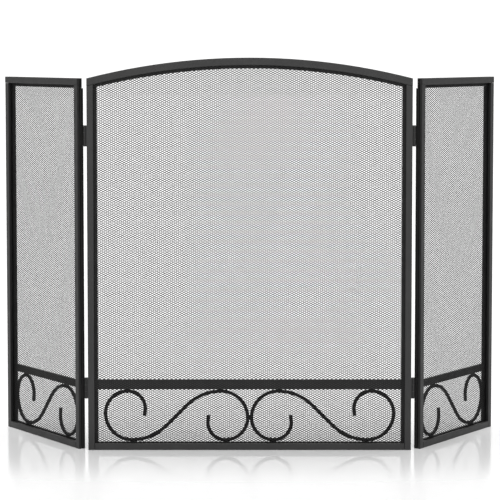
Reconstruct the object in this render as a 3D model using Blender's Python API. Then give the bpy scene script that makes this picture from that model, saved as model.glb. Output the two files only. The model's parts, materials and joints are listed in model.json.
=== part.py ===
"""Three-panel folding fireplace screen, modelled piece by piece.

Units are metres, +Z is up and the front faces -Y.  The origin is on the floor,
under the middle of the centre panel's front bars.  Every panel is three layers:
flat bars in front, a sheet of expanded metal, and backing bars behind it.
The crossbar, the bottom bar and the scrolls fill the backing layer between its
stiles.  The side panels are built flat and then turned about their hinge axes.
"""

import math

import bmesh
import bpy

# Overall size
HEIGHT = 0.762
CENTRE_HALF_WIDTH = 0.3138
ARCH_RADIUS = 1.260
SIDE_WIDTH = 0.291
REST_FOLD = math.radians(55.0)

# Steel sections
BAR_WIDTH = 0.0127
BAR_DEPTH = 0.00635
ARCH_BAR_WIDTH = 0.0145
BACKING_WIDTH = 0.01905
BACKING_OVERHANG = BACKING_WIDTH - BAR_WIDTH
BACKING_BOTTOM_HEIGHT = 0.0143
SIDE_CROSSBAR_WIDTH = 0.0150
STRIP_DEPTH = 0.003175
MESH_THICKNESS = 0.0008
MESH_INSET = 0.001
BAR_CHAMFER = 0.0008
BACKING_CHAMFER = 0.0005
ROD_RADIUS = 0.0035
GAP = 0.0003

# Layers, from front to back
FRONT = (-BAR_DEPTH / 2, BAR_DEPTH / 2)
MESH = (FRONT[1] + GAP, FRONT[1] + GAP + MESH_THICKNESS)
STRIP = (MESH[1] + GAP, MESH[1] + GAP + STRIP_DEPTH)
BACKING = (MESH[1] + GAP, MESH[1] + GAP + BAR_DEPTH)
ROD_Y = BACKING[0] + ROD_RADIUS

# Heights
ARCH_CENTRE_Z = HEIGHT - ARCH_RADIUS
SIDE_HEIGHT = ARCH_CENTRE_Z + math.sqrt(ARCH_RADIUS ** 2 - CENTRE_HALF_WIDTH ** 2)
CROSSBAR_BOTTOM = 0.1178
SCROLL_BOTTOM = BACKING_BOTTOM_HEIGHT + GAP
SCROLL_HALF_HEIGHT = (CROSSBAR_BOTTOM - GAP - SCROLL_BOTTOM) / 2 - ROD_RADIUS
SCROLL_CENTRE_Z = SCROLL_BOTTOM + ROD_RADIUS + SCROLL_HALF_HEIGHT

# Hinges
KNUCKLE_RADIUS = 0.00395
BORE_RADIUS = 0.0023
PIN_RADIUS = 0.0020
PIN_CAP_RADIUS = 0.0034
PIN_CAP_HEIGHT = 0.0012
LEAF_INNER = 0.0025
LEAF_OUTER = 0.0040
LEAF_FRONT = -0.0090
LEAF_BACK = -0.0036
LEAF_TAB_BACK = -0.0003
AXIS_TO_STILE = 0.00427
AXIS_BEHIND_BACKING = 0.0008
AXIS_X = CENTRE_HALF_WIDTH + AXIS_TO_STILE
AXIS_Y = BACKING[1] + AXIS_BEHIND_BACKING
KNUCKLE_STACK = 0.038
HINGE_BOTTOMS = {"lower": 0.1005, "upper": 0.5920}

# Scroll shape: a straight diagonal, then arcs that tighten into a hook.  The
# first two arcs carry the rod from its highest point down to its lowest.
SCROLL_SLOPE = math.radians(45.0)
SHOULDER_RADIUS = 0.0524
BELLY_RADIUS = 2 * SCROLL_HALF_HEIGHT - SHOULDER_RADIUS
SCROLL_ARCS = ((90.0, SHOULDER_RADIUS), (90.0, BELLY_RADIUS), (90.0, 0.0343), (13.0, 0.0640))
CENTRE_SCROLL_EDGE = 0.2844
CENTRE_SCROLL_HALF_WIDTH = (CENTRE_SCROLL_EDGE - GAP / 2) / 2 - ROD_RADIUS
SIDE_SCROLL_HALF_WIDTH = SIDE_WIDTH / 2 - BACKING_WIDTH - GAP - ROD_RADIUS

# Faceting
ARCH_STEPS = 24
ROD_SIDES = 14
ROUND_SIDES = 24
DEGREES_PER_ARC_STEP = 11.0
SHARP_ANGLE = math.radians(35.0)

FINISHES = {
    "front_bar": {"colour": (0.0170, 0.0168, 0.0172), "roughness": 0.46, "metallic": 0.0},
    "backing_bar": {"colour": (0.0140, 0.0138, 0.0142), "roughness": 0.55, "metallic": 0.0},
    "scroll_rod": {"colour": (0.0160, 0.0158, 0.0162), "roughness": 0.42, "metallic": 0.0},
    "mesh_sheet": {"colour": (0.0220, 0.0218, 0.0222), "roughness": 0.50, "metallic": 0.0},
    "hinge_leaf": {"colour": (0.0180, 0.0178, 0.0182), "roughness": 0.42, "metallic": 0.1},
    "hinge_pin": {"colour": (0.0260, 0.0255, 0.0250), "roughness": 0.36, "metallic": 0.6},
}


def clear_scene():
    for item in list(bpy.data.objects):
        bpy.data.objects.remove(item, do_unlink=True)


def new_material(name, finish):
    material = bpy.data.materials.new(name)
    material.use_nodes = True
    shader = material.node_tree.nodes["Principled BSDF"]
    shader.inputs["Base Color"].default_value = (*finish["colour"], 1.0)
    shader.inputs["Roughness"].default_value = finish["roughness"]
    shader.inputs["Metallic"].default_value = finish["metallic"]
    material.diffuse_color = (*finish["colour"], 1.0)
    return material


def loft(name, rings, finish, smooth=False):
    """Join equal rings of points into one closed body with flat ends."""
    body = bmesh.new()
    loops = [[body.verts.new(point) for point in ring] for ring in rings]
    count = len(loops[0])
    for near, far in zip(loops, loops[1:]):
        for index in range(count):
            following = (index + 1) % count
            body.faces.new((near[index], near[following], far[following], far[index]))
    body.faces.new(list(reversed(loops[0])))
    body.faces.new(loops[-1])
    bmesh.ops.recalc_face_normals(body, faces=body.faces)
    mesh = bpy.data.meshes.new(name)
    body.to_mesh(mesh)
    body.free()
    if smooth:
        mesh.shade_smooth()
        mesh.set_sharp_from_angle(angle=SHARP_ANGLE)
    item = bpy.data.objects.new(name, mesh)
    item.data.materials.append(new_material(name + "_paint", FINISHES[finish]))
    bpy.context.scene.collection.objects.link(item)
    return item


def chamfered_rectangle(low_a, high_a, low_b, high_b, chamfer):
    """Eight corners of a rectangle with its corners cut off."""
    return (
        (low_a + chamfer, low_b),
        (high_a - chamfer, low_b),
        (high_a, low_b + chamfer),
        (high_a, high_b - chamfer),
        (high_a - chamfer, high_b),
        (low_a + chamfer, high_b),
        (low_a, high_b - chamfer),
        (low_a, low_b + chamfer),
    )


def upright(name, span, layer, top, finish, chamfer):
    """A bar that stands on the floor; top gives its height at each x."""
    section = chamfered_rectangle(*sorted(span), *layer, chamfer)
    rings = (
        [(x, y, 0.0) for x, y in section],
        [(x, y, top(x)) for x, y in section],
    )
    return loft(name, rings, finish)


def level_bar(name, span, layer, heights, finish, chamfer):
    """A straight horizontal bar."""
    section = chamfered_rectangle(*layer, *heights, chamfer)
    rings = [[(x, y, z) for y, z in section] for x in sorted(span)]
    return loft(name, rings, finish)


def arch_height(x, radius):
    return ARCH_CENTRE_Z + math.sqrt(radius ** 2 - x ** 2)


def arched_bar(name, width, layer, finish, chamfer):
    """A bar bent to the panel's top curve, its ends cut plumb."""
    inner_radius = ARCH_RADIUS - width
    section = chamfered_rectangle(*layer, inner_radius, ARCH_RADIUS, chamfer)
    step = 2 * CENTRE_HALF_WIDTH / ARCH_STEPS
    rings = []
    for index in range(ARCH_STEPS + 1):
        x = -CENTRE_HALF_WIDTH + index * step
        rings.append([(x, y, arch_height(x, radius)) for y, radius in section])
    return loft(name, rings, finish)


def mesh_sheet(name, span, top, steps, layer):
    """The closed envelope of a flat sheet of expanded metal."""
    low, high = sorted(span)
    rings = []
    for index in range(steps + 1):
        x = low + (high - low) * index / steps
        front, back = layer
        rings.append([
            (x, front, MESH_INSET),
            (x, back, MESH_INSET),
            (x, back, top(x) - MESH_INSET),
            (x, front, top(x) - MESH_INSET),
        ])
    return loft(name, rings, "mesh_sheet")


def half_scroll(height):
    """Centreline of one half of a scroll, from its middle out to the hook."""
    first_radius = SCROLL_ARCS[0][1]
    top_x = CENTRE_SCROLL_HALF_WIDTH - first_radius
    rise = 1.0 - math.cos(SCROLL_SLOPE)
    run = math.sin(SCROLL_SLOPE)
    slope = math.tan(SCROLL_SLOPE)
    lead_radius = (height - slope * top_x) / (rise - slope * run)
    x = top_x - lead_radius * run
    z = height - lead_radius * rise
    points = [(0.0, 0.0), (x / 2, z / 2), (x, z)]
    heading = SCROLL_SLOPE
    for sweep, radius in ((math.degrees(SCROLL_SLOPE), lead_radius), *SCROLL_ARCS):
        steps = max(1, round(sweep / DEGREES_PER_ARC_STEP))
        centre_x = x + radius * math.sin(heading)
        centre_z = z - radius * math.cos(heading)
        for _ in range(steps):
            heading -= math.radians(sweep) / steps
            x = centre_x - radius * math.sin(heading)
            z = centre_z + radius * math.cos(heading)
            points.append((x, z))
    return points


def scroll(name, centre_x, hand, half_width, y):
    """An S-shaped round rod; hand is 1 where its diagonal rises towards +X."""
    stretch = hand * half_width / CENTRE_SCROLL_HALF_WIDTH
    outward = [(x * stretch, z) for x, z in half_scroll(SCROLL_HALF_HEIGHT)]
    path = [(-x, -z) for x, z in reversed(outward)] + outward[1:]
    rings = []
    for index, (x, z) in enumerate(path):
        before = path[max(index - 1, 0)]
        after = path[min(index + 1, len(path) - 1)]
        length = math.dist(before, after)
        normal_x = -(after[1] - before[1]) / length
        normal_z = (after[0] - before[0]) / length
        ring = []
        for side in range(ROD_SIDES):
            angle = 2 * math.pi * side / ROD_SIDES
            across = ROD_RADIUS * math.cos(angle)
            depth = ROD_RADIUS * math.sin(angle)
            ring.append((
                centre_x + x + normal_x * across,
                y + depth,
                SCROLL_CENTRE_Z + z + normal_z * across,
            ))
        rings.append(ring)
    return loft(name, rings, "scroll_rod", smooth=True)


def centre_panel():
    edge = CENTRE_HALF_WIDTH
    inner = edge - BAR_WIDTH
    backing_inner = edge - BACKING_WIDTH
    strip_width = ARCH_BAR_WIDTH + BACKING_OVERHANG
    under_arch = ARCH_RADIUS - ARCH_BAR_WIDTH
    under_strip = ARCH_RADIUS - strip_width
    for side, sign in (("left", -1), ("right", 1)):
        upright("centre_stile_" + side, (sign * inner, sign * edge), FRONT,
                lambda x: arch_height(x, under_arch) - GAP, "front_bar", BAR_CHAMFER)
        upright("centre_backing_" + side, (sign * backing_inner, sign * edge), BACKING,
                lambda x: arch_height(x, under_strip) - GAP, "backing_bar", BACKING_CHAMFER)
        scroll("centre_scroll_" + side, sign * (CENTRE_SCROLL_EDGE + GAP / 2) / 2, -sign,
               CENTRE_SCROLL_HALF_WIDTH, ROD_Y)
    arched_bar("centre_top_arch", ARCH_BAR_WIDTH, FRONT, "front_bar", BAR_CHAMFER)
    arched_bar("centre_backing_arch", strip_width, STRIP, "backing_bar", BACKING_CHAMFER)
    between = inner - GAP
    level_bar("centre_bottom_rail", (-between, between), FRONT,
              (0.0, BAR_WIDTH), "front_bar", BAR_CHAMFER)
    between = backing_inner - GAP
    level_bar("centre_backing_bottom", (-between, between), BACKING,
              (0.0, BACKING_BOTTOM_HEIGHT), "backing_bar", BACKING_CHAMFER)
    level_bar("centre_crossbar", (-between, between), BACKING,
              (CROSSBAR_BOTTOM, CROSSBAR_BOTTOM + BACKING_WIDTH), "front_bar", BAR_CHAMFER)
    sheet_edge = edge - MESH_INSET
    mesh_sheet("centre_mesh", (-sheet_edge, sheet_edge),
               lambda x: arch_height(x, ARCH_RADIUS), ARCH_STEPS, MESH)


def side_panel(side, sign):
    """Build one side panel flat, in line with the centre, then fold it back."""
    near = AXIS_TO_STILE
    far = near + SIDE_WIDTH
    front = tuple(y - AXIS_Y for y in FRONT)
    strip = tuple(y - AXIS_Y for y in STRIP)
    backing = tuple(y - AXIS_Y for y in BACKING)
    sheet = tuple(y - AXIS_Y for y in MESH)
    rail_bottom = SIDE_HEIGHT - BAR_WIDTH
    strip_bottom = SIDE_HEIGHT - BACKING_WIDTH

    def across(low, high):
        return (sign * low, sign * high)

    pieces = []
    for place, outer_edge, inward in (("inner", near, 1), ("outer", far, -1)):
        pieces.append(upright(
            side + "_" + place + "_stile",
            across(outer_edge, outer_edge + inward * BAR_WIDTH), front,
            lambda x: rail_bottom - GAP, "front_bar", BAR_CHAMFER))
        pieces.append(upright(
            side + "_backing_" + place,
            across(outer_edge, outer_edge + inward * BACKING_WIDTH), backing,
            lambda x: strip_bottom - GAP, "backing_bar", BACKING_CHAMFER))
    pieces.append(level_bar(
        side + "_top_rail", across(near, far), front,
        (rail_bottom, SIDE_HEIGHT), "front_bar", BAR_CHAMFER))
    pieces.append(level_bar(
        side + "_backing_top", across(near, far), strip,
        (strip_bottom, SIDE_HEIGHT), "backing_bar", BACKING_CHAMFER))
    pieces.append(level_bar(
        side + "_bottom_rail",
        across(near + BAR_WIDTH + GAP, far - BAR_WIDTH - GAP), front,
        (0.0, BAR_WIDTH), "front_bar", BAR_CHAMFER))
    between = across(near + BACKING_WIDTH + GAP, far - BACKING_WIDTH - GAP)
    pieces.append(level_bar(
        side + "_backing_bottom", between, backing,
        (0.0, BACKING_BOTTOM_HEIGHT), "backing_bar", BACKING_CHAMFER))
    pieces.append(level_bar(
        side + "_crossbar", between, backing,
        (CROSSBAR_BOTTOM, CROSSBAR_BOTTOM + SIDE_CROSSBAR_WIDTH), "front_bar", BAR_CHAMFER))
    pieces.append(mesh_sheet(
        side + "_mesh", across(near + MESH_INSET, far - MESH_INSET),
        lambda x: SIDE_HEIGHT, 1, sheet))
    pieces.append(scroll(
        side + "_scroll", sign * (near + far) / 2, -sign,
        SIDE_SCROLL_HALF_WIDTH, ROD_Y - AXIS_Y))
    for piece in pieces:
        put_on_axis(piece, sign, REST_FOLD)


def put_on_axis(item, sign, fold):
    item.location = (sign * AXIS_X, AXIS_Y, 0.0)
    item.rotation_euler = (0.0, 0.0, sign * fold)


def box(name, low, high):
    rings = []
    for z in (low[2], high[2]):
        rings.append([(low[0], low[1], z), (high[0], low[1], z),
                      (high[0], high[1], z), (low[0], high[1], z)])
    return loft(name, rings, "hinge_leaf")


def circle(radius, z, sides=ROUND_SIDES):
    ring = []
    for side in range(sides):
        angle = 2 * math.pi * (side + 0.5) / sides
        ring.append((radius * math.cos(angle), radius * math.sin(angle), z))
    return ring


def apply_boolean(target, tool, operation):
    """Combine two solids and keep only the result."""
    modifier = target.modifiers.new(operation.lower(), "BOOLEAN")
    modifier.object = tool
    modifier.operation = operation
    modifier.solver = "EXACT"
    bpy.context.view_layer.update()
    evaluated = target.evaluated_get(bpy.context.evaluated_depsgraph_get())
    result = bpy.data.meshes.new_from_object(evaluated)
    result.name = target.name
    target.modifiers.clear()
    target.data = result
    bpy.data.objects.remove(tool, do_unlink=True)


def hinge_leaf(name, toward, knuckles, bottom):
    """A plate on one stile edge with its own knuckles bored for the pin."""
    span = sorted((toward * LEAF_INNER, toward * LEAF_OUTER))
    top = bottom + KNUCKLE_STACK
    leaf = box(name, (span[0], LEAF_FRONT, bottom), (span[1], LEAF_BACK, top))
    for low, high in knuckles:
        tab = box(name + "_tab", (span[0], LEAF_FRONT, low), (span[1], LEAF_TAB_BACK, high))
        apply_boolean(leaf, tab, "UNION")
        tube = loft(name + "_tube", (circle(KNUCKLE_RADIUS, low), circle(KNUCKLE_RADIUS, high)),
                    "hinge_leaf")
        apply_boolean(leaf, tube, "UNION")
    reach = KNUCKLE_STACK / 2
    bore = loft(name + "_bore", (circle(BORE_RADIUS, bottom - reach), circle(BORE_RADIUS, top + reach)),
                "hinge_leaf")
    apply_boolean(leaf, bore, "DIFFERENCE")
    leaf.data.shade_smooth()
    leaf.data.set_sharp_from_angle(angle=SHARP_ANGLE)
    return leaf


def hinge_pin(name, bottom):
    """A pin with a cap at each end that keeps it in the knuckles."""
    top = bottom + KNUCKLE_STACK
    low = bottom - GAP
    high = top + GAP
    edge = PIN_CAP_HEIGHT / 2
    rings = (
        circle(PIN_CAP_RADIUS - edge, low - PIN_CAP_HEIGHT),
        circle(PIN_CAP_RADIUS, low - edge),
        circle(PIN_CAP_RADIUS, low),
        circle(PIN_RADIUS, low),
        circle(PIN_RADIUS, high),
        circle(PIN_CAP_RADIUS, high),
        circle(PIN_CAP_RADIUS, high + edge),
        circle(PIN_CAP_RADIUS - edge, high + PIN_CAP_HEIGHT),
    )
    return loft(name, rings, "hinge_pin", smooth=True)


def hinge(side, sign, level, bottom):
    """One three-knuckle hinge; the centre panel carries the outer knuckles."""
    third = (KNUCKLE_STACK - 2 * GAP) / 3
    top = bottom + KNUCKLE_STACK
    middle = (bottom + third + GAP, top - third - GAP)
    outer = ((bottom, bottom + third), (top - third, top))
    stem = side + "_" + level + "_hinge"
    put_on_axis(hinge_leaf(stem + "_centre_leaf", -sign, outer, bottom), sign, 0.0)
    put_on_axis(hinge_leaf(stem + "_side_leaf", sign, (middle,), bottom), sign, REST_FOLD)
    put_on_axis(hinge_pin(stem + "_pin", bottom), sign, 0.0)


def main():
    clear_scene()
    centre_panel()
    for side, sign in (("left", -1), ("right", 1)):
        side_panel(side, sign)
        for level, bottom in HINGE_BOTTOMS.items():
            hinge(side, sign, level, bottom)


main()
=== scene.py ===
"""The looks of the folding fireplace screen: expanded metal, welds, paint, light and camera.

Units are metres.  The CAD frame sets every size and place: +Z is up, the front
faces -Y, and the side panels are folded back about their hinge axes.
"""

import json
import math

import bmesh
import bpy
import numpy as np
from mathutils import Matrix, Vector


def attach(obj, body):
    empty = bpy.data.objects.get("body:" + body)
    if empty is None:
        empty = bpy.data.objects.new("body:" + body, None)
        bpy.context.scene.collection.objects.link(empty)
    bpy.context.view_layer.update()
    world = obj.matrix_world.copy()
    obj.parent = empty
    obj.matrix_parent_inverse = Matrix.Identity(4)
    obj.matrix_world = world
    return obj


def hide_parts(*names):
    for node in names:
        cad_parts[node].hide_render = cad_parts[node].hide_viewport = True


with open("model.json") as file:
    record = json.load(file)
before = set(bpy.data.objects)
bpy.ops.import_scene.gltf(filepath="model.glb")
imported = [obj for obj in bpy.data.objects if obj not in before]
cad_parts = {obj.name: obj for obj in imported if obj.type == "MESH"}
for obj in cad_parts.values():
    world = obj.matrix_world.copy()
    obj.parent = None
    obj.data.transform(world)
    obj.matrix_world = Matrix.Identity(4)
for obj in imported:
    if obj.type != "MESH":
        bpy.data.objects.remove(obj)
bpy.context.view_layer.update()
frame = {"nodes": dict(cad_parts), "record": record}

# Expanded metal
DIAMOND_WIDTH = 0.00820
CENTRE_DIAMOND_HEIGHT = 0.00434
SIDE_DIAMOND_HEIGHT = 0.00392
STRAND_WIDTH = 0.00118
SHEET_STEEL = 0.00052
STRAND_RIDGE = 0.00008
STRAND_TILT = 0.00010
SHEET_MARGIN = 0.0012
MAX_SHEET_TRIANGLES = 150000
TRIANGLES_PER_DIAMOND = 24
LEVEL_SAG = 1e-4
CORNER_REACH = 1e-5

# Welds
WELD_RADIUS = 0.00095
WELD_LENGTH = 0.009
WELD_SIDES = 10
WELD_RIPPLE = 0.0011
RINGS_PER_RIPPLE = 4
MIN_WELD_STEPS = 8
WELD_END_WIDTH = 0.12
WELD_END_POWER = 5
RIPPLE_DEPTH = 0.09
SWELL_DEPTH = 0.06
SWELL_TURNS = 2.3
SWELL_PHASE = 1.7
PHASE_STEP = 1.9
SEAM_WIDTH = 0.0020
SEAM_HEIGHT = 0.0004
SEAM_INSET = 0.0010
STILE_SIDE_REACH = 1e-4
CONTACT_REACH = 0.00006
CONTACT_ASIDE = 0.72
CONTACT_DROP = 0.55

# Powder coat: noises are (scale, detail), spans are where a ramp starts and ends
DRIFT_NOISE = (9.0, 4.0)
DRIFT_SPAN = (0.32, 0.70)
DRIFT_SHADES = (0.82, 1.22)
DRIFT_WARMTH = 0.01
FLECK_NOISE = (2600.0, 2.0)
FLECK_SPAN = (0.60, 0.74)
FLECK_SHADE = 0.55
DUST_SLOPE = (0.55, 1.0)
DUST_COVER = 0.45
DUST_NOISE = (60.0, 5.0)
DUST_SHADE = 0.075
DUST_WARMTH = 0.06
GLOSS_NOISE = (38.0, 4.0)
GLOSS_SPAN = (0.30, 0.72)
SMOOTHER = 0.05
ROUGHER = 0.07
PEEL_DETAIL = 2.0
PEEL_ROUGHNESS = 0.45
PEEL_DEPTH = 0.0004

# Worn hinge pins
RUB_NOISE = (420.0, 4.0)
WEAR_SPAN = (0.52, 0.66)
PAINTED_SHADE = 0.020
WORN_SHADE = 0.060
WORN_WARMTH = 0.02
WORN_METAL = 0.7
PIN_POLISH_SPAN = (0.40, 0.66)
PIN_ROUGHNESS = (0.42, 0.30)

# Camera
LENS = 145.5
SENSOR = 36.0
CAMERA_DISTANCE = 3.89
CAMERA_HEIGHT = 0.779
CAMERA_TILT = math.radians(4.07)
CAMERA_SHIFT_X = 0.0008
CAMERA_SHIFT_Y = -0.115

# Light
BACKDROP = 1.0
BACKDROP_SEEN = 1.16
BACKDROP_SPAN = (0.45, 0.90)
AMBIENT = 0.28
DOME_STRENGTH = 3.0
DOME_ANGLE = math.radians(110.0)
DOME_TILT = math.radians(12.0)
BOX_PLACE = (0.0, -4.5, 1.5)
BOX_AIM = (0.0, 0.0, 0.35)
BOX_WIDTH = 3.2
BOX_HEIGHT = 2.2
BOX_POWER = 33.0

# Floor
FLOOR_SIZE = 60.0
FLOOR_SHADE_AND_GLOSS_REACH = (0.05, 0.33)
FLOOR_SHADE_AND_GLOSS_SQUEEZE = 0.30
FLOOR_NOISE = (1.3, 3.0)
FLOOR_SPAN = (0.3, 0.7)
FLOOR_SHADES = (0.75, 0.77)
FLOOR_ROUGHNESS = (0.03, 0.28)
# Floor emission near the screen and away from it; the lower value near it is a painted shade.
FLOOR_GLOW_WITH_PAINTED_SHADE = (0.08, 0.21)
FLOOR_IOR = 1.65

WHITE = (1.0, 1.0, 1.0, 1.0)


def panel_axes():
    """Each body's (axis x, axis y, turn about +Z that folds the flat panel to rest)."""
    panels = {"centre_panel": (0.0, 0.0, 0.0)}
    for joint in frame["record"]["behaviour"]["joints"]:
        x, y, _ = joint["pos_m"]
        fold = math.radians(-joint["range_deg"][0]) * joint["axis"][2]
        panels[joint["child"]] = (x, y, fold)
    return panels


PANELS = panel_axes()


def to_panel(points, body):
    """World points as flat-panel coordinates: along the panel, through it, up."""
    x0, y0, turn = PANELS[body]
    x = points[:, 0] - x0
    y = points[:, 1] - y0
    along = x * math.cos(turn) + y * math.sin(turn)
    through = -x * math.sin(turn) + y * math.cos(turn)
    return np.column_stack((along, through, points[:, 2]))


def to_world(points, body):
    """Flat-panel coordinates as world points at rest."""
    x0, y0, turn = PANELS[body]
    x = x0 + points[:, 0] * math.cos(turn) - points[:, 1] * math.sin(turn)
    y = y0 + points[:, 0] * math.sin(turn) + points[:, 1] * math.cos(turn)
    return np.column_stack((x, y, points[:, 2]))


def node_points(node, body):
    data = frame["nodes"][node].data
    flat = np.empty(len(data.vertices) * 3, np.float32)
    data.vertices.foreach_get("co", flat)
    return to_panel(flat.reshape(-1, 3).astype(float), body)


# Materials


def nodes_of(name):
    material = bpy.data.materials.new(name)
    material.use_nodes = True
    tree = material.node_tree
    return material, tree, tree.nodes["Principled BSDF"]


def noise(tree, scale, detail=3.0, roughness=0.55):
    node = tree.nodes.new("ShaderNodeTexNoise")
    node.inputs["Scale"].default_value = scale
    node.inputs["Detail"].default_value = detail
    node.inputs["Roughness"].default_value = roughness
    coordinates = tree.nodes.new("ShaderNodeTexCoord")
    tree.links.new(coordinates.outputs["Object"], node.inputs["Vector"])
    return node


def ramp(tree, source, span, first, last):
    node = tree.nodes.new("ShaderNodeValToRGB")
    node.color_ramp.elements[0].position = span[0]
    node.color_ramp.elements[1].position = span[1]
    node.color_ramp.elements[0].color = first
    node.color_ramp.elements[1].color = last
    tree.links.new(source, node.inputs["Fac"])
    return node


def grey(value, warmth=0.0):
    return (value * (1.0 + warmth), value, value * (1.0 - warmth), 1.0)


def powder_coat(name, base, roughness, orange_peel=0.16, grain=900.0, specular=0.5):
    """Satin black powder coat: orange peel, slow shade drift and a little dust on top faces."""
    material, tree, shader = nodes_of(name)
    shader.inputs["Specular IOR Level"].default_value = specular
    links = tree.links
    drift = noise(tree, *DRIFT_NOISE)
    dark = grey(base * DRIFT_SHADES[0])
    light = grey(base * DRIFT_SHADES[1], DRIFT_WARMTH)
    shade = ramp(tree, drift.outputs["Fac"], DRIFT_SPAN, dark, light)
    speckle = noise(tree, *FLECK_NOISE)
    fleck = ramp(tree, speckle.outputs["Fac"], FLECK_SPAN, grey(0.0), grey(1.0))
    flecked = tree.nodes.new("ShaderNodeMixRGB")
    flecked.blend_type = "ADD"
    links.new(shade.outputs["Color"], flecked.inputs["Color1"])
    flecked.inputs["Color2"].default_value = grey(base * FLECK_SHADE)
    links.new(fleck.outputs["Color"], flecked.inputs["Fac"])

    geometry = tree.nodes.new("ShaderNodeNewGeometry")
    split = tree.nodes.new("ShaderNodeSeparateXYZ")
    links.new(geometry.outputs["Normal"], split.inputs["Vector"])
    upward = ramp(tree, split.outputs["Z"], DUST_SLOPE, grey(0.0), grey(DUST_COVER))
    patches = noise(tree, *DUST_NOISE)
    dust_mask = tree.nodes.new("ShaderNodeMath")
    dust_mask.operation = "MULTIPLY"
    links.new(upward.outputs["Color"], dust_mask.inputs[0])
    links.new(patches.outputs["Fac"], dust_mask.inputs[1])
    dusty = tree.nodes.new("ShaderNodeMixRGB")
    links.new(dust_mask.outputs["Value"], dusty.inputs["Fac"])
    links.new(flecked.outputs["Color"], dusty.inputs["Color1"])
    dusty.inputs["Color2"].default_value = grey(DUST_SHADE, DUST_WARMTH)
    links.new(dusty.outputs["Color"], shader.inputs["Base Color"])

    gloss = noise(tree, *GLOSS_NOISE)
    smooth = grey(roughness - SMOOTHER)
    rough = grey(roughness + ROUGHER)
    finish = ramp(tree, gloss.outputs["Fac"], GLOSS_SPAN, smooth, rough)
    links.new(finish.outputs["Color"], shader.inputs["Roughness"])

    peel = noise(tree, grain, PEEL_DETAIL, PEEL_ROUGHNESS)
    bump = tree.nodes.new("ShaderNodeBump")
    bump.inputs["Strength"].default_value = orange_peel
    bump.inputs["Distance"].default_value = PEEL_DEPTH
    links.new(peel.outputs["Fac"], bump.inputs["Height"])
    links.new(bump.outputs["Normal"], shader.inputs["Normal"])
    return material


def worn_pin_paint(name):
    """Black paint rubbed thin on a hinge pin, with steel grey showing through."""
    material, tree, shader = nodes_of(name)
    rub = noise(tree, *RUB_NOISE)
    painted = grey(PAINTED_SHADE)
    worn = grey(WORN_SHADE, WORN_WARMTH)
    wear = ramp(tree, rub.outputs["Fac"], WEAR_SPAN, painted, worn)
    tree.links.new(wear.outputs["Color"], shader.inputs["Base Color"])
    metal = ramp(tree, rub.outputs["Fac"], WEAR_SPAN, grey(0.0), grey(WORN_METAL))
    tree.links.new(metal.outputs["Color"], shader.inputs["Metallic"])
    rough, smooth = (grey(value) for value in PIN_ROUGHNESS)
    finish = ramp(tree, rub.outputs["Fac"], PIN_POLISH_SPAN, rough, smooth)
    tree.links.new(finish.outputs["Color"], shader.inputs["Roughness"])
    return material


def map_range(tree, source, span, limits):
    """A smooth change from the first limit to the last as the source crosses the span."""
    node = tree.nodes.new("ShaderNodeMapRange")
    node.interpolation_type = "SMOOTHSTEP"
    node.inputs["From Min"].default_value, node.inputs["From Max"].default_value = span
    node.inputs["To Min"].default_value, node.inputs["To Max"].default_value = limits
    tree.links.new(source, node.inputs["Value"])
    return node.outputs["Result"]


def floor_material():
    """A pale studio floor, more polished under the screen than away from it, and a touch deeper
    there: its emission, which lifts it to white, is weaker under the screen, a painted shade around
    the screen's foot.
    """
    material, tree, shader = nodes_of("studio_floor")
    clouds = noise(tree, *FLOOR_NOISE)
    deep, pale = (grey(value) for value in FLOOR_SHADES)
    tone = ramp(tree, clouds.outputs["Fac"], FLOOR_SPAN, deep, pale)
    tree.links.new(tone.outputs["Color"], shader.inputs["Base Color"])
    place = tree.nodes.new("ShaderNodeTexCoord")
    oval = tree.nodes.new("ShaderNodeVectorMath")
    oval.operation = "MULTIPLY"
    oval.inputs[1].default_value = (FLOOR_SHADE_AND_GLOSS_SQUEEZE, 1.0, 0.0)
    tree.links.new(place.outputs["Object"], oval.inputs[0])
    away = tree.nodes.new("ShaderNodeVectorMath")
    away.operation = "LENGTH"
    tree.links.new(oval.outputs["Vector"], away.inputs[0])
    gloss = map_range(tree, away.outputs["Value"], FLOOR_SHADE_AND_GLOSS_REACH, FLOOR_ROUGHNESS)
    tree.links.new(gloss, shader.inputs["Roughness"])
    # Emission that lifts the floor to white, weaker near the screen: a painted shade around the
    # screen's foot.
    glow_with_painted_shade = map_range(tree, away.outputs["Value"], FLOOR_SHADE_AND_GLOSS_REACH, FLOOR_GLOW_WITH_PAINTED_SHADE)
    tree.links.new(glow_with_painted_shade, shader.inputs["Emission Strength"])
    shader.inputs["Emission Color"].default_value = WHITE
    shader.inputs["IOR"].default_value = FLOOR_IOR
    return material


def paint_cad_nodes():
    """Paint every CAD node by its material slot, and return the paints."""
    paints = {
        "bar_paint": powder_coat("bar_powder_coat", 0.0105, 0.44),
        # The backing bars get a darker base colour than the front bars, though both carry the same
        # powder coat: a painted shade for the shade they sit in behind the mesh.
        "backing_paint": powder_coat("backing_powder_coat_painted_shade", 0.0055, 0.52, specular=0.40),
        # The scrolls, and the welds that share this paint, get a darker base colour than the front
        # bars, though both carry the same powder coat: a painted shade for round rods that catch
        # less light behind the mesh.
        "scroll_paint": powder_coat("scroll_powder_coat_painted_shade", 0.0030, 0.45, grain=1100.0,
                                    specular=0.18),
        "mesh_paint": powder_coat("mesh_powder_coat", 0.0035, 0.48, orange_peel=0.10,
                                  grain=2200.0, specular=0.22),
        "hinge_paint": powder_coat("hinge_powder_coat", 0.0090, 0.42, grain=1300.0),
        "hinge_pin_paint": worn_pin_paint("hinge_pin_worn_paint"),
    }
    for subpart in frame["record"]["subparts"]:
        item = frame["nodes"][subpart["node"]]
        item.data.materials.clear()
        item.data.materials.append(paints[subpart["material_slot"]])
    return paints


# Expanded metal


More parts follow.
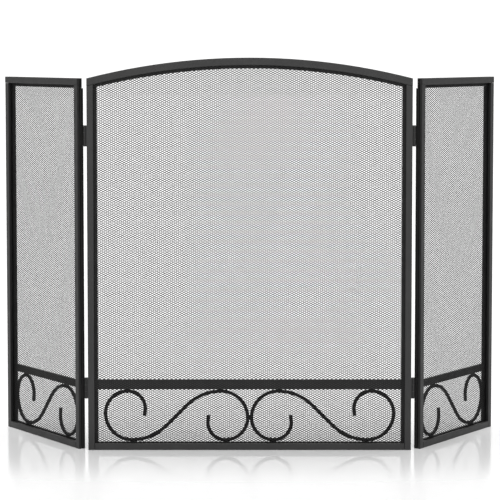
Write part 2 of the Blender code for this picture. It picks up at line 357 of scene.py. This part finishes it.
def sheet_top(points):
    """The sheet's top edge: level, or the circle through its crown and corners."""
    reach = np.abs(points[:, 0]).max()
    crown = points[:, 2].max()
    corner = points[np.abs(points[:, 0]) > reach - CORNER_REACH, 2].max()
    sag = crown - corner
    if sag < LEVEL_SAG:
        return lambda along: np.full_like(along, crown)
    radius = (reach ** 2 + sag ** 2) / (2.0 * sag)
    return lambda along: crown - radius + np.sqrt(radius ** 2 - along ** 2)


def diamond_cells(points, height):
    """Grid places of every diamond that lies wholly inside the sheet."""
    half_width = DIAMOND_WIDTH / 2
    half_height = height / 2
    low = points[:, 0].min() + SHEET_MARGIN
    high = points[:, 0].max() - SHEET_MARGIN
    bottom = points[:, 2].min() + SHEET_MARGIN
    top = sheet_top(points)
    middle = (low + high) / 2
    across = int((high - low) / DIAMOND_WIDTH)
    columns = np.arange(-across - 2, across + 3)
    rows = np.arange(0, int(points[:, 2].max() / half_height) + 3)
    column, row = (part.ravel() for part in np.meshgrid(columns, rows))
    along = middle + column * half_width
    up = bottom + half_height + row * half_height
    keep = (column + row) % 2 == 0
    keep &= (along - half_width > low) & (along + half_width < high)
    safe = np.clip(along, low, high)
    keep &= up + half_height < top(safe) - SHEET_MARGIN
    return column[keep], row[keep], along[keep], up[keep]


def expanded_chunk(name, cells, height, depth, body, paint, node):
    """One closed run of expanded metal: every diamond opening is a real hole."""
    column, row, along, up = cells
    half = np.array((DIAMOND_WIDTH / 2, height / 2))
    slant = math.hypot(*half)
    opening = 1.0 - STRAND_WIDTH / 2 * slant / (half[0] * half[1])
    corner_steps = np.array(((-1, 0), (0, -1), (1, 0), (0, 1)))
    front, back = depth

    # Lattice points where strands cross, shared by neighbouring diamonds
    lattice = np.stack([column[:, None] + corner_steps[:, 0],
                        row[:, None] + corner_steps[:, 1]], axis=-1)
    unique, inverse = np.unique(lattice.reshape(-1, 2), axis=0, return_inverse=True)
    inverse = inverse.reshape(-1, 4)
    origin_along = along[0] - column[0] * half[0]
    origin_up = up[0] - row[0] * half[1]
    crossing = np.column_stack((origin_along + unique[:, 0] * half[0],
                                origin_up + unique[:, 1] * half[1]))
    count = len(crossing)

    def layer(plane, through):
        return np.column_stack((plane[:, 0], through, plane[:, 1]))

    # Hole corners, set back from the ridge and tilted as a stretched strand is
    hole = np.stack([along[:, None] + corner_steps[:, 0] * half[0] * opening,
                     up[:, None] + corner_steps[:, 1] * half[1] * opening], axis=-1).reshape(-1, 2)
    tilt = np.tile(corner_steps[:, 1] * -STRAND_TILT, len(along))
    inset = STRAND_RIDGE + STRAND_TILT
    points = np.concatenate((
        layer(crossing, np.full(count, front)),
        layer(crossing, np.full(count, back)),
        layer(hole, front + inset + tilt),
        layer(hole, back - inset + tilt),
    ))
    hole_front = 2 * count + np.arange(len(along) * 4).reshape(-1, 4)
    hole_back = hole_front + len(along) * 4
    faces = []
    edges = []
    for corner in range(4):
        following = (corner + 1) % 4
        a, b = inverse[:, corner], inverse[:, following]
        c, d = hole_front[:, following], hole_front[:, corner]
        e, f = hole_back[:, following], hole_back[:, corner]
        faces.append(np.column_stack((a, b, c, d)))
        faces.append(np.column_stack((d, c, e, f)))
        faces.append(np.column_stack((f, e, b + count, a + count)))
        edges.append(np.column_stack((a, b)))

    # Edges that only one diamond uses are the rim, closed from front to back
    edges = np.concatenate(edges)
    key = np.sort(edges, axis=1)
    _, place, uses = np.unique(key, axis=0, return_inverse=True, return_counts=True)
    rim = edges[uses[place.ravel()] == 1]
    faces.append(np.column_stack((rim[:, 1], rim[:, 0], rim[:, 0] + count, rim[:, 1] + count)))
    faces = np.concatenate(faces)

    data = bpy.data.meshes.new(name)
    data.vertices.add(len(points))
    data.vertices.foreach_set("co", to_world(points, body).astype(np.float32).ravel())
    data.loops.add(faces.size)
    data.loops.foreach_set("vertex_index", faces.astype(np.int32).ravel())
    data.polygons.add(len(faces))
    data.polygons.foreach_set("loop_start", np.arange(0, faces.size, 4, dtype=np.int32))
    data.update(calc_edges=True)
    data.validate()
    item = bpy.data.objects.new(name, data)
    bpy.context.scene.collection.objects.link(item)
    data.materials.append(paint)
    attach(item, body)
    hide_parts(node)
    return item


def expanded_sheet(node, body, height, paint):
    """A panel's sheet, as side by side runs that each stay under the triangle limit."""
    points = node_points(node, body)
    middle = (points[:, 1].min() + points[:, 1].max()) / 2
    depth = (middle - SHEET_STEEL / 2, middle + SHEET_STEEL / 2)
    cells = diamond_cells(points, height)
    column = cells[0]
    chunks = math.ceil(len(column) * TRIANGLES_PER_DIAMOND / MAX_SHEET_TRIANGLES)
    low, high = column.min(), column.max() + 1
    for index in range(chunks):
        first = low + (high - low) * index // chunks
        last = low + (high - low) * (index + 1) // chunks
        inside = (column >= first) & (column < last)
        chunk = tuple(part[inside] for part in cells)
        expanded_chunk(node + "_strands_" + str(index + 1), chunk, height, depth, body, paint, node)


def build_sheets(paints):
    expanded_sheet("centre_mesh", "centre_panel", CENTRE_DIAMOND_HEIGHT, paints["mesh_paint"])
    for side in ("left", "right"):
        expanded_sheet(side + "_mesh", side + "_panel", SIDE_DIAMOND_HEIGHT, paints["mesh_paint"])


# Welds


def bead(start, end, out, half_width, half_height, phase):
    """A rippled weld bead as rings of points; out is the way it stands proud."""
    start, end, out = (np.asarray(vector, float) for vector in (start, end, out))
    length = np.linalg.norm(end - start)
    across = np.cross((end - start) / length, out)
    steps = max(MIN_WELD_STEPS, round(length / WELD_RIPPLE * RINGS_PER_RIPPLE))
    turn = np.arange(WELD_SIDES) * 2 * math.pi / WELD_SIDES
    rings = []
    for index in range(steps + 1):
        share = index / steps
        taper = max(WELD_END_WIDTH, (1.0 - abs(2 * share - 1) ** WELD_END_POWER) ** 0.5)
        ripple = 1.0 + RIPPLE_DEPTH * math.sin(2 * math.pi * share * length / WELD_RIPPLE + phase)
        ripple += SWELL_DEPTH * math.sin(SWELL_TURNS * math.pi * share + SWELL_PHASE * phase)
        centre = start + (end - start) * share
        rings.append(centre + across * (np.cos(turn)[:, None] * half_width * taper * ripple)
                     + out * (np.sin(turn)[:, None] * half_height * taper * ripple))
    return rings


def box_of(node, body):
    """The lowest and highest corner of a CAD node, in flat-panel coordinates."""
    points = node_points(node, body)
    return points.min(axis=0), points.max(axis=0)


def seam_beads(node, body):
    """Dressed beads on the back face, where a level bar meets the stiles at its two ends."""
    low, high = box_of(node, body)
    beads = []
    for end in (low[0], high[0]):
        start = (end, high[1], low[2] + SEAM_INSET)
        stop = (end, high[1], high[2] - SEAM_INSET)
        beads.append((start, stop, (0.0, 1.0, 0.0), SEAM_WIDTH / 2, SEAM_HEIGHT))
    return beads


def shoulder_beads(stile, top_bar, body):
    """A fillet where a thick backing stile ends under the thinner top bar."""
    points = node_points(stile, body)
    _, bar_high = box_of(top_bar, body)
    crown = points[points[:, 2] > points[:, 2].mean()]
    ends = []
    for side in (crown[:, 0].min(), crown[:, 0].max()):
        near = crown[np.abs(crown[:, 0] - side) < STILE_SIDE_REACH]
        inward = SEAM_INSET if side == crown[:, 0].min() else -SEAM_INSET
        ends.append((side + inward, bar_high[1], near[:, 2].max()))
    out = (0.0, math.sqrt(0.5), math.sqrt(0.5))
    return [(ends[0], ends[1], out, WELD_RADIUS, WELD_RADIUS)]


def contact_beads(scroll, body, touches_sides):
    """Short beads at every place where a scroll touches a bar, a stile or its twin."""
    points = node_points(scroll, body)
    low, high = points.min(axis=0), points.max(axis=0)
    middle = (low + high) / 2
    radius = (high[1] - low[1]) / 2
    aside = radius * CONTACT_ASIDE
    drop = WELD_RADIUS * CONTACT_DROP
    beads = []
    places = []
    for level, inward in ((high[2], -1), (low[2], 1)):
        near = points[np.abs(points[:, 2] - level) < CONTACT_REACH]
        for half in (near[near[:, 0] < middle[0]], near[near[:, 0] > middle[0]]):
            if len(half):
                centre = (half[:, 0].min() + half[:, 0].max()) / 2
                places.append(((centre, level + inward * drop), (1.0, 0.0, 0.0), (0.0, 0.0, inward)))
    for edge, inward, touching in ((low[0], 1, touches_sides[0]), (high[0], -1, touches_sides[1])):
        near = points[np.abs(points[:, 0] - edge) < CONTACT_REACH]
        if touching:
            centre = (near[:, 2].min() + near[:, 2].max()) / 2
            places.append(((edge + inward * drop, centre), (0.0, 0.0, 1.0), (inward, 0.0, 0.0)))
    for (along, up), direction, out in places:
        for through in (middle[1] - aside, middle[1] + aside):
            spot = np.array((along, through, up))
            half = np.array(direction) * WELD_LENGTH / 2
            beads.append((spot - half, spot + half, out, WELD_RADIUS, WELD_RADIUS))
    return beads


def weld_object(name, beads, body, paint):
    """All of one panel's beads as one object of closed bodies."""
    vertices = []
    faces = []
    for number, (start, end, out, half_width, half_height) in enumerate(beads):
        rings = bead(start, end, out, half_width, half_height, PHASE_STEP * number)
        base = len(vertices)
        for ring in rings:
            vertices.extend(ring)
        for level in range(len(rings) - 1):
            for side in range(WELD_SIDES):
                following = (side + 1) % WELD_SIDES
                a = base + level * WELD_SIDES
                b = a + WELD_SIDES
                faces.append((a + side, a + following, b + following, b + side))
        faces.append(tuple(base + side for side in reversed(range(WELD_SIDES))))
        last = base + (len(rings) - 1) * WELD_SIDES
        faces.append(tuple(last + side for side in range(WELD_SIDES)))
    data = bpy.data.meshes.new(name)
    data.from_pydata(to_world(np.array(vertices), body).tolist(), [], faces)
    body_mesh = bmesh.new()
    body_mesh.from_mesh(data)
    bmesh.ops.recalc_face_normals(body_mesh, faces=body_mesh.faces)
    body_mesh.to_mesh(data)
    body_mesh.free()
    data.shade_smooth()
    item = bpy.data.objects.new(name, data)
    bpy.context.scene.collection.objects.link(item)
    data.materials.append(paint)
    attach(item, body)


def build_welds(paints):
    """One object of beads for each panel; the centre scrolls touch each other in the middle."""
    # The welds take the scroll paint, whose darker base colour is a painted shade.
    paint = paints["scroll_paint"]
    beads = seam_beads("centre_crossbar", "centre_panel")
    beads += seam_beads("centre_backing_bottom", "centre_panel")
    for side, touches in (("left", (False, True)), ("right", (True, False))):
        beads += shoulder_beads("centre_backing_" + side, "centre_backing_arch", "centre_panel")
        beads += contact_beads("centre_scroll_" + side, "centre_panel", touches)
    weld_object("centre_welds", beads, "centre_panel", paint)
    for side in ("left", "right"):
        body = side + "_panel"
        beads = seam_beads(side + "_crossbar", body) + seam_beads(side + "_backing_bottom", body)
        for place in ("inner", "outer"):
            beads += shoulder_beads(side + "_backing_" + place, side + "_backing_top", body)
        beads += contact_beads(side + "_scroll", body, (True, True))
        weld_object(side + "_welds", beads, body, paint)


# Studio


def build_floor():
    data = bpy.data.meshes.new("floor")
    reach = FLOOR_SIZE / 2
    corners = [(-reach, -reach, 0), (reach, -reach, 0), (reach, reach, 0), (-reach, reach, 0)]
    data.from_pydata(corners, [], [(0, 1, 2, 3)])
    floor = bpy.data.objects.new("floor", data)
    bpy.context.scene.collection.objects.link(floor)
    floor.data.materials.append(floor_material())


def build_world():
    """White where it is seen directly; it lights the screen as a white backdrop with dim sides."""
    world = bpy.data.worlds.new("studio")
    world.use_nodes = True
    tree = world.node_tree
    background = tree.nodes["Background"]
    direction = tree.nodes.new("ShaderNodeTexCoord")
    split = tree.nodes.new("ShaderNodeSeparateXYZ")
    tree.links.new(direction.outputs["Generated"], split.inputs["Vector"])
    behind = map_range(tree, split.outputs["Y"], BACKDROP_SPAN, (AMBIENT, BACKDROP))
    path = tree.nodes.new("ShaderNodeLightPath")
    seen = tree.nodes.new("ShaderNodeMath")
    seen.operation = "MULTIPLY"
    seen.inputs[1].default_value = BACKDROP_SEEN
    tree.links.new(path.outputs["Is Camera Ray"], seen.inputs[0])
    brighter = tree.nodes.new("ShaderNodeMath")
    brighter.operation = "MAXIMUM"
    tree.links.new(behind, brighter.inputs[0])
    tree.links.new(seen.outputs["Value"], brighter.inputs[1])
    tree.links.new(brighter.outputs["Value"], background.inputs["Strength"])
    background.inputs["Color"].default_value = WHITE
    bpy.context.scene.world = world


def soft_box(name, place, aim, width, height, power):
    light = bpy.data.lights.new(name, "AREA")
    light.shape = "RECTANGLE"
    light.size = width
    light.size_y = height
    light.energy = power
    item = bpy.data.objects.new(name, light)
    item.location = place
    item.rotation_euler = (Vector(aim) - Vector(place)).to_track_quat("-Z", "Y").to_euler()
    item.visible_camera = False
    bpy.context.scene.collection.objects.link(item)


def dome_light():
    light = bpy.data.lights.new("overhead_dome", "SUN")
    light.energy = DOME_STRENGTH
    light.angle = DOME_ANGLE
    item = bpy.data.objects.new("overhead_dome", light)
    item.rotation_euler = (DOME_TILT, 0.0, 0.0)
    bpy.context.scene.collection.objects.link(item)


def build_camera():
    camera = bpy.data.cameras.new("camera")
    camera.lens = LENS
    camera.sensor_width = SENSOR
    camera.shift_x = CAMERA_SHIFT_X
    camera.shift_y = CAMERA_SHIFT_Y
    camera.clip_end = 100.0
    item = bpy.data.objects.new("camera", camera)
    item.location = (0.0, -CAMERA_DISTANCE, CAMERA_HEIGHT)
    item.rotation_euler = (math.pi / 2 - CAMERA_TILT, 0.0, 0.0)
    bpy.context.scene.collection.objects.link(item)
    bpy.context.scene.camera = item


def main():
    bpy.context.scene.view_settings.view_transform = "Standard"
    paints = paint_cad_nodes()
    build_sheets(paints)
    build_welds(paints)
    build_floor()
    build_world()
    dome_light()
    soft_box("front_soft_box", BOX_PLACE, BOX_AIM, BOX_WIDTH, BOX_HEIGHT, BOX_POWER)
    build_camera()


main()
